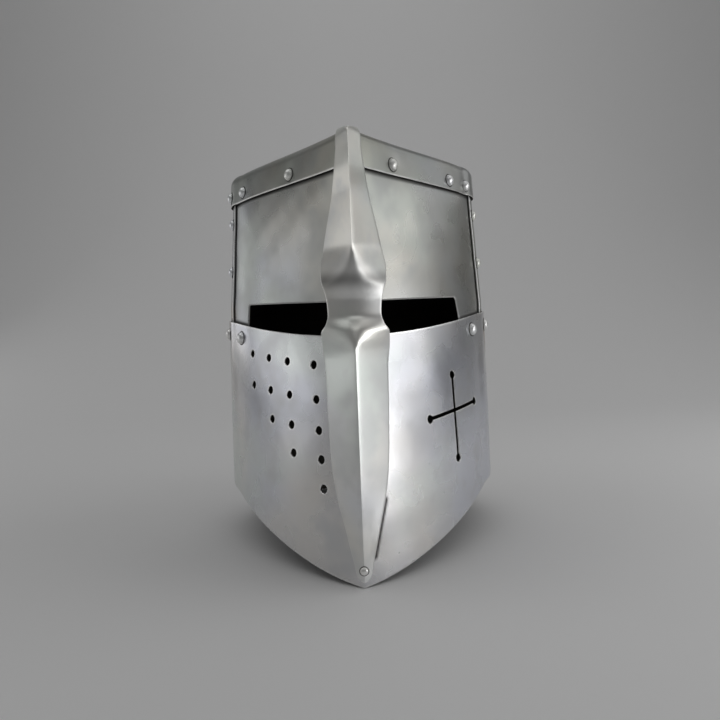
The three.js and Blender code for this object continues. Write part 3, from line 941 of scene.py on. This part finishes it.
class HELM_OT_crown(bpy.types.Operator):
    """Crown with its rounded shoulder and turned-down band"""

    bl_idname = "helm.crown"
    bl_label = "Crown"

    def execute(self, context):
        s = sizes()
        outer = self.wall(s.sheet, s.shoulder, s.height, 1.0)
        inner = self.wall(0.0, s.shoulder - s.sheet, s.height - s.sheet, -1.0)
        points, faces = two_sides(outer, inner, ring=True)
        columns, rows = outer.shape[:2]
        count = columns * rows
        for a in range(0, count, rows):
            b = (a + rows) % count
            faces.append((a, count + a, count + b, b))
        faces.append(tuple(range(rows - 1, count, rows)))
        faces.append(tuple(range(count + rows - 1, 2 * count, rows))[::-1])
        made = closed_object("crown_dressed", points, faces)
        ring = np.linspace(-2, 2, 900)
        band_foot = s.height - s.band_height
        foot_line = skin(ring, band_foot, over_brow(ring) + s.sheet)
        # Line just under the band's foot, for painted shadow along the band's lower edge
        under = skin(ring, band_foot - 1.2 * MM, over_brow(ring))
        paint = steel_material("band_steel", steel().band, steel().polish + 0.04)
        finish_plate(made, "crown", paint, [under], [foot_line])
        return {"FINISHED"}

    @staticmethod
    def wall(offset, radius, top, face):
        """One face of the band, the shoulder and the flat, as columns round the helm"""
        s = sizes()
        side = softened(0.0, 1.0, 120, 3 * MM)[3:-3]
        half = np.concatenate([[0.0, 0.002, 0.006], side, np.linspace(1.0, 2.0, 90)])
        u = np.concatenate([half, -half[1:-1][::-1]])[:, None]
        band_foot = s.height - s.band_height
        up = np.array([0.0, 0.08, 0.35, 1.0]) * s.rim
        fall = rounded(up) * face
        straight = np.linspace(band_foot + 1.5 * MM, top - radius, 14)
        turn = np.radians(np.linspace(0, 90, 11))[1:]
        z = np.concatenate([band_foot + up, straight, top - radius * (1 - np.sin(turn))])[None, :]
        inset = np.concatenate([fall, 0 * straight, radius * (1 - np.cos(turn))])[None, :]
        rise = np.concatenate([0 * up, 0 * straight, np.sin(turn)])[None, :]
        depth = over_brow(u) + offset - inset
        shift = beaten(skin(u, z, depth), rivet_plan()) * (1 - rise)
        wall = held_back(skin(u, z, depth + shift), z, depth, rise)
        last = wall[:, -1]
        centre = np.array([0.0, middle(), top])
        shares = (0.95, 0.85, 0.7, 0.5, 0.3, 0.12)
        flat = np.stack([centre + (last - centre) * share for share in shares], axis=1)
        flat[..., 2] = top + 0.6 * beaten(flat) - 0.25 * MM
        return np.concatenate([wall, flat], axis=1)


class HELM_OT_upper_plates(bpy.types.Operator):
    """Brow plate with its eye slits, and the upper back plate lapped over its ends"""

    bl_idname = "helm.upper_plates"
    bl_label = "Upper plates"

    def execute(self, context):
        s = sizes()
        paint = steel_material("upper_steel", steel().upper, steel().polish + 0.02)
        band_foot = s.height - s.band_height
        columns = front_marks(BROW_REACH, 95)
        made = lapped_plate("brow_plate_dressed", columns, 90, self.low, self.high, on_skin)
        sheet = made.data.copy()
        outlines = [self.slit(*entry) for entry in SLITS]
        cut_with(made, [outline_cutter(line, on_skin, 2.4 * MM, 0.9 * MM) for line in outlines])
        true_normals(made, sheet)
        # Lines for painted shadow on the brow: under the band's foot, above the face plate's edge, and
        # beside the upper back plate's ends
        across = np.linspace(-BROW_REACH, BROW_REACH, 700)
        tall = np.linspace(seam(UPPER_BACK_START), band_foot, 200)
        ends = [skin(sign * UPPER_BACK_START, tall, s.sheet) for sign in (-1, 1)]
        laps = [skin(across, band_foot, s.sheet), skin(across, seam(across), s.sheet), *ends]
        cuts = [skin(*np.array(line).T, s.sheet) for line in outlines]
        finish_plate(made, "brow_plate", paint, laps, cuts)
        columns = back_marks(UPPER_BACK_START, 110)
        made = lapped_plate("upper_back_plate_dressed", columns, 70, self.low, self.high, on_brow)
        # Lines for painted shadow on the upper back plate: under the band's foot and above the lower
        # plates' edge
        near_end = np.linspace(UPPER_BACK_START, STEP_DOWN[0], 60)
        ring = np.concatenate([columns, -near_end, near_end])
        laps = [skin(ring, band_foot, lap() + s.sheet), skin(ring, seam(ring), lap() + s.sheet)]
        ends = rim_lines(columns, self.low, self.high, on_brow)[2:]
        finish_plate(made, "upper_back_plate", paint, laps, ends)
        return {"FINISHED"}

    @staticmethod
    def low(u):
        return seam(u) - sizes().seam_lap

    @staticmethod
    def high(u):
        return sizes().height - sizes().shoulder - 2 * MM + 0.0 * u

    @staticmethod
    def slit(side, top_end, foot_end, corner):
        """Outline of one eye slit as (u, z) points, open below behind the face plate"""
        s = sizes()
        top = s.slit_top + s.slit_rise * spread(top_end, s.slit_top)
        foot_z = float(seam(foot_end)) - s.seam_lap - 6 * MM
        u = np.linspace(SLIT_INNER, top_end, 60)
        radius = corner * MM
        inward = np.maximum(radius - (top_end - u) * FRONT_SPAN, 0.0)
        falls = radius - np.sqrt(radius**2 - inward**2)
        upper = list(zip(u, s.slit_top + s.slit_rise * spread(u, s.slit_top) - falls))
        share = np.linspace(0.0, 1.0, 30)[1:]
        start = upper[-1][1]
        fall = foot_z + 2 * MM - start
        upper += [(top_end + (foot_end - top_end) * k, start + fall * k) for k in share]
        lower = [(u, foot_z) for u in np.linspace(foot_end, SLIT_INNER, len(upper))]
        return [(side * a, b) for a, b in upper + lower]


class HELM_OT_lower_plates(bpy.types.Operator):
    """Face plate with its breaths, and the lower back plate lapped over its ends"""

    bl_idname = "helm.lower_plates"
    bl_label = "Lower plates"

    def execute(self, context):
        s = sizes()
        paint = steel_material("face_steel", steel().face, steel().polish)
        columns = front_marks(FACE_REACH, 125)
        made = lapped_plate("face_plate_dressed", columns, 120, foot, seam, over_brow)
        sheet = made.data.copy()
        holes = self.holes()
        self.pierce(made, holes, paint)
        slots = [self.slot(CROSS_TOP, CROSS_FOOT), self.slot(CROSS_INNER, CROSS_OUTER)]
        cut_with(made, [outline_cutter(line, over_brow, 1.0 * MM, 0.35 * MM) for line in slots])
        true_normals(made, sheet)
        edges = [ring_points(holes, 0.54), *rim_lines(columns, foot, seam, over_brow)]
        edges += [skin(*np.array(line).T, lap() + s.sheet) for line in slots]
        finish_plate(made, "face_plate", paint, [self.bar_shadow()], edges)
        columns = back_marks(LOWER_BACK_START, 110)
        made = lapped_plate("lower_back_plate_dressed", columns, 90, foot, seam, over_face)
        paint = steel_material("back_steel", steel().back, steel().polish + 0.02)
        edges = rim_lines(columns, foot, seam, over_face)
        finish_plate(made, "lower_back_plate", paint, [], edges)
        return {"FINISHED"}

    @staticmethod
    def bar_shadow():
        """The line on the face plate under the bar's sprung edge"""
        s = sizes()
        stations = np.array(BAR_STATIONS)
        z = np.linspace(*SPRUNG_LINE, 120) * MM
        half = np.interp(z / s.height, stations[:, 0], stations[:, 1]) * s.bar_half
        u = np.linspace(0.0, 0.4, 400)
        x = skin(u[None, :], z[:, None], lap() + s.sheet)[..., 0]
        reach = np.array([np.interp(width, row, u) for width, row in zip(half + 0.4 * MM, x)])
        return skin(reach, z, lap() + s.sheet)

    @staticmethod
    def holes():
        """Place, outward direction and width of the round holes"""
        s = sizes()
        spots = []
        for at, count in BREATH_COLUMNS:
            for row in range(count):
                u = BREATH_LEAN * row - at
                z = float(seam(u)) - s.breath_drop - BREATH_ROWS[row] * s.breath_pitch
                spots.append((u, z, s.breath))
        for u, z in (CROSS_TOP, CROSS_FOOT, CROSS_INNER, CROSS_OUTER):
            spots.append((u, z * MM, s.cross_end))
        return [
            (skin(u, z, over_brow(u) + s.sheet), square_to(u, z, over_brow), width)
            for u, z, width in spots
        ]

    @staticmethod
    def pierce(made, holes, paint):
        """Cuts the round holes, each with a lightly broken edge"""
        profile = ((0, 1.2), (0.66, 1.2), (0.545, 0.0), (0.5, -0.06), (0.5, -1.6), (0, -1.6))
        apply_tree(made, True, {
            "Places": places_object("breath_places", *zip(*holes)),
            "Pattern": turned_pattern("punch", profile, 32),
            "Uneven": 0.02, "Seed": 3, "Steel": paint,
        })

    @staticmethod
    def slot(start, end):
        """Outline of a straight slot between two holes as (u, z) points"""
        s = sizes()
        (u0, z0), (u1, z1) = start, end
        across = span_at((u0 + u1) / 2, (z0 + z1) / 2 * MM)
        ahead = np.array([(u1 - u0) * across, (z1 - z0) * MM])
        out = np.array([-ahead[1], ahead[0]]) / np.linalg.norm(ahead) * s.cross_slot / 2
        share = np.linspace(0.0, 1.0, 40)
        line = [(u0 + (u1 - u0) * k, (z0 + (z1 - z0) * k) * MM) for k in share]
        one = [(u + out[0] / across, z + out[1]) for u, z in line]
        two = [(u - out[0] / across, z - out[1]) for u, z in line[::-1]]
        return one + two


class HELM_OT_nasal_bar(bpy.types.Operator):
    """Ridged bar from the crown down the crease to the point"""

    bl_idname = "helm.nasal_bar"
    bl_label = "Nasal bar"

    def execute(self, context):
        s = sizes()
        rows = self.rows()
        outer = self.lines(rows, s.gap + s.bar_sheet, 1.0)
        inner = self.lines(rows, s.gap, -1.0)
        made = closed_object("nasal_bar_dressed", *shell(outer, inner), SHARP_BAR)
        # Painted shade darkens the bar's hollow under the brow
        low, high = (share * s.height for share in HOLLOW_SHADE)
        shadowed = np.sin(np.pi * ramp(low, high, rows[:, 0])) ** 2
        shade = np.tile(shadowed, 2 * outer.shape[0]).astype(np.float32)
        made.data.attributes.new("hollow", "FLOAT", "POINT").data.foreach_set("value", shade)
        paint = steel_material("bar_steel", steel().bar, steel().polish + 0.1)
        edges = [outer[0], outer[-1], outer[:, 0], outer[:, -1]]
        finish_plate(made, "nasal_bar", paint, [], edges)
        return {"FINISHED"}

    def rows(self):
        """Height, rise, run back, squareness, offset, half width, ridge and softness of every row"""
        s = sizes()
        stations = np.array(BAR_STATIONS)
        band_foot = s.height - s.band_height
        low, high = stations[0, 0], stations[-1, 0]
        tip = low + softened(0.0, 0.034, 14, s.rim / s.height)[:-4]
        share = np.concatenate([tip, np.linspace(tip[-1] + 0.002, high, 230)])
        half = self.smooth(share, stations[:, 0], stations[:, 1]) * s.bar_half
        ridge = self.smooth(share, stations[:, 0], stations[:, 2]) * s.bar_ridge
        z = share * s.height
        edge = float(seam(SLIT_INNER)) + 3 * MM
        step = np.maximum(1 - ease(edge, edge + 10 * MM, z), ease(band_foot - 17 * MM, band_foot, z))
        offset = lap() * (1 + step) - s.gap
        square = BRIDGE_SQUARE * ease(*BRIDGE_FOOT, share) * (1 - ease(*BRIDGE_TOP, share))
        hollow = ease(*HOLLOW_FOOT, share) * (1 - ease(*HOLLOW_TOP, share))
        rows = [
            (a, 0.0, 0.0, e, b, c, d, f)
            for a, b, c, d, e, f in zip(z, offset, half, ridge, square, hollow)
        ]
        for turn in np.linspace(0, 90, 16):
            a = math.radians(turn)
            rows.append((
                s.height - s.shoulder * (1 - math.sin(a)), math.sin(a), 0.0, 0.0,
                offset[-1] - s.shoulder * (1 - math.cos(a)),
                half[-1] + (BAR_FOLD_HALF * s.bar_half - half[-1]) * turn / 90,
                ridge[-1] * math.cos(a) ** 2, 0.0,
            ))
        fold = rows[-1]
        runs = np.array([(0.0, BAR_FOLD_HALF, 0.0), *BAR_END])
        for run in np.linspace(0.8, BAR_END[-1][0], 14):
            square = float(np.interp(run, runs[:, 0], runs[:, 2]))
            wide = float(np.interp(run, runs[:, 0], runs[:, 1])) * s.bar_half
            rows.append((fold[0], fold[1], run * MM, square, fold[4], wide, 0.0, 0.0))
        return np.array(rows)

    @staticmethod
    def smooth(at, x, y):
        """Even curve through the stations that never overshoots them"""
        slope = np.diff(y) / np.diff(x)
        tangent = np.zeros_like(y)
        same = slope[:-1] * slope[1:] > 0
        tangent[1:-1][same] = 2 * slope[:-1][same] * slope[1:][same] / (slope[:-1] + slope[1:])[same]
        tangent[0], tangent[-1] = slope[0], slope[-1]
        k = np.clip(np.searchsorted(x, at) - 1, 0, len(x) - 2)
        h = x[k + 1] - x[k]
        t = (at - x[k]) / h
        return (
            (2 * t**3 - 3 * t**2 + 1) * y[k]
            + (t**3 - 2 * t**2 + t) * h * tangent[k]
            + (-2 * t**3 + 3 * t**2) * y[k + 1]
            + (t**3 - t**2) * h * tangent[k + 1]
        )

    @staticmethod
    def lines(rows, depth, face):
        """Points across every row of the bar, with softened edges and an eased ridge"""
        s = sizes()
        z, rise, back, square, offset, half, ridge, hollow = (rows[None, :, k] for k in range(8))
        across = softened(-1.0, 1.0, 45, 0.03)[:, None]
        fall = rounded((1 - np.abs(across)) * half) * face
        lift = depth - fall
        offset = offset + lift * np.sqrt(np.maximum(1 - rise**2, 0.0))
        z = z + lift * rise
        height = np.minimum(z, s.height)
        fold = 0.5 * hollow
        x = (np.sqrt(across**2 + fold**2) - fold) / (np.sqrt(1 + fold**2) - fold) * half
        low, high = np.zeros_like(x), np.ones_like(x)
        for _ in range(30):
            mid = (low + high) / 2
            short = skin(mid, height, offset)[..., 0] < x
            low, high = np.where(short, mid, low), np.where(short, high, mid)
        line = skin(low, height, offset)
        nose = nose_line(height, offset, rise)
        y = held_back(line, height, offset, rise)[..., 1]
        soft = 0.006 + 0.25 * hollow
        crest = (np.sqrt(1 + soft) - np.sqrt(across**2 + soft)) / (np.sqrt(1 + soft) - np.sqrt(soft))
        tall = z / MM
        sprung = ease(0.3, 1.0, across) * ease(*SPRUNG_FOOT, tall) * (1 - ease(*SPRUNG_TOP, tall))
        y = y + (nose - y) * square - ridge * crest + back - s.sprung * sprung
        shift = beaten(np.stack([across * half, y, z + 0.0 * x], axis=-1))
        return np.stack([across * half, y + shift * (1 - rise), z + 0.0 * x], axis=-1)


class HELM_OT_rivets(bpy.types.Operator):
    """Domed rivets set square to the plates"""

    bl_idname = "helm.rivets"
    bl_label = "Rivets"

    def execute(self, context):
        names, *marks = zip(*rivet_plan())
        made = places_object("rivets", *marks)
        paint = steel_material("rivet_steel", steel().rivet, steel().polish + 0.1)
        apply_tree(made, False, {
            "Places": places_object("rivet_places", *marks),
            "Pattern": self.head(),
            "Uneven": 0.04, "Seed": 11, "Steel": paint,
        })
        finish_piece(made, names, paint)
        return {"FINISHED"}

    @staticmethod
    def head():
        """One rivet of unit width: a flattened dome, a painted shadow line round its foot, and its
        shank
        """
        turns = [math.radians(a) for a in (18, 34, 48, 60, 71, 80, 86)]
        dome = [(0.0, 0.37)] + [(0.48 * math.sin(a), 0.07 + 0.30 * math.cos(a)) for a in turns]
        dome += [(0.49, 0.06), (0.49, 0.03)]
        foot_line = [(0.53, 0.024), (0.60, -0.01)]
        shank = [(0.22, -0.03), (0.22, -0.25), (0.0, -0.25)]
        made = turned_pattern("rivet_pattern", dome + foot_line + shank, 28, SHARP_HEAD)
        # The foot ring and the shank are marked for painted shadow
        dark = made.data.attributes.new("lap", "FLOAT", "POINT")
        dark.data.foreach_set("value", [
            1.0 if math.hypot(v.co.x, v.co.y) > 0.5 or v.co.z < 0 else 0.0 for v in made.data.vertices
        ])
        return made


class HELM_OT_stage(bpy.types.Operator):
    """Pale floor, soft light and the camera"""

    bl_idname = "helm.stage"
    bl_label = "Stage"

    def execute(self, context):
        look = context.scene.helm_stage
        context.scene.view_settings.view_transform = "Standard"
        self.floor(look)
        self.lights(look)
        self.camera(context, look)
        return {"FINISHED"}

    def floor(self, look):
        reach, rise, bend, start = 3.0, 2.6, 1.0, 0.6
        profile = [(-reach, 0.0), (start, 0.0)]
        for k in range(1, 17):
            a = math.radians(90 * k / 16)
            profile.append((start + bend * math.sin(a), bend * (1 - math.cos(a))))
        profile.append((start + bend, rise))
        points = [(x, y, z - 0.2 * MM) for x in (-reach, reach) for y, z in profile]
        n = len(profile)
        faces = [(i, n + i, n + i + 1, i + 1) for i in range(n - 1)]
        made = mesh_object("floor", points, faces)
        smooth_shaded(made)
        paint = bpy.data.materials.new("floor_paint")
        paint.use_nodes = True
        shader = paint.node_tree.nodes["Principled BSDF"]
        shader.inputs["Base Color"].default_value = (*look.floor, 1.0)
        shader.inputs["Roughness"].default_value = 0.6
        made.data.materials.append(paint)

    def lights(self, look):
        world = bpy.data.worlds.new("surround")
        world.use_nodes = True
        world.node_tree.nodes["Background"].inputs["Color"].default_value = (*look.surround, 1.0)
        world.node_tree.nodes["Background"].inputs["Strength"].default_value = 1.0
        bpy.context.scene.world = world
        for name, turn, height, width, tall, power in SOFT_BOXES:
            a, b = math.radians(turn), math.radians(height)
            away = Vector((math.sin(a) * math.cos(b), -math.cos(a) * math.cos(b), math.sin(b)))
            self.panel(name, Vector(LIGHT_AIM) + away * LIGHT_DISTANCE, LIGHT_AIM, width, tall, power)
        for entry in PANELS:
            self.panel(*entry)

    @staticmethod
    def panel(name, place, aim, width, tall, power):
        lamp = bpy.data.lights.new(name, "AREA")
        lamp.shape, lamp.size, lamp.size_y, lamp.energy = "RECTANGLE", width, tall, power
        made = bpy.data.objects.new(name, lamp)
        made.location = place
        made.rotation_euler = (Vector(aim) - Vector(place)).to_track_quat("-Z", "Y").to_euler()
        made.visible_camera = False
        bpy.context.scene.collection.objects.link(made)

    def camera(self, context, look):
        lens = bpy.data.cameras.new("camera")
        lens.lens, lens.sensor_width = look.lens, 36.0
        made = bpy.data.objects.new("camera", lens)
        yaw, pitch, roll = look.camera_turn
        turn = (
            Matrix.Rotation(yaw, 4, "Z")
            @ Matrix.Rotation(math.radians(90) + pitch, 4, "X")
            @ Matrix.Rotation(roll, 4, "Z")
        )
        made.matrix_world = Matrix.Translation(look.camera_place) @ turn
        lens.clip_start, lens.clip_end = 0.01, 50.0
        context.scene.collection.objects.link(made)
        context.scene.camera = made


class HELM_PT_panel(bpy.types.Panel):
    """Buttons and sizes of the helm"""

    bl_label = "Great Helm"
    bl_idname = "HELM_PT_panel"
    bl_space_type = "VIEW_3D"
    bl_region_type = "UI"
    bl_category = "Great Helm"

    def draw(self, context):
        for step in STEPS:
            self.layout.operator(step.bl_idname)
        for group in (context.scene.helm_sizes, context.scene.helm_steel, context.scene.helm_stage):
            box = self.layout.box()
            for key in type(group).__annotations__:
                box.prop(group, key)


STEPS = (
    HELM_OT_crown,
    HELM_OT_upper_plates,
    HELM_OT_lower_plates,
    HELM_OT_nasal_bar,
    HELM_OT_rivets,
    HELM_OT_stage,
)
CLASSES = (HelmSizes, HelmSteel, HelmStage, *STEPS, HELM_PT_panel)


def register():
    for item in CLASSES:
        bpy.utils.register_class(item)
    bpy.types.Scene.helm_sizes = bpy.props.PointerProperty(type=HelmSizes)
    bpy.types.Scene.helm_steel = bpy.props.PointerProperty(type=HelmSteel)
    bpy.types.Scene.helm_stage = bpy.props.PointerProperty(type=HelmStage)


def unregister():
    for key in ("helm_sizes", "helm_steel", "helm_stage"):
        delattr(bpy.types.Scene, key)
    for item in reversed(CLASSES):
        bpy.utils.unregister_class(item)


def main():
    register()
    bpy.ops.helm.crown()
    bpy.ops.helm.upper_plates()
    bpy.ops.helm.lower_plates()
    bpy.ops.helm.nasal_bar()
    bpy.ops.helm.rivets()
    bpy.ops.helm.stage()


if __name__ == "__main__":
    main()
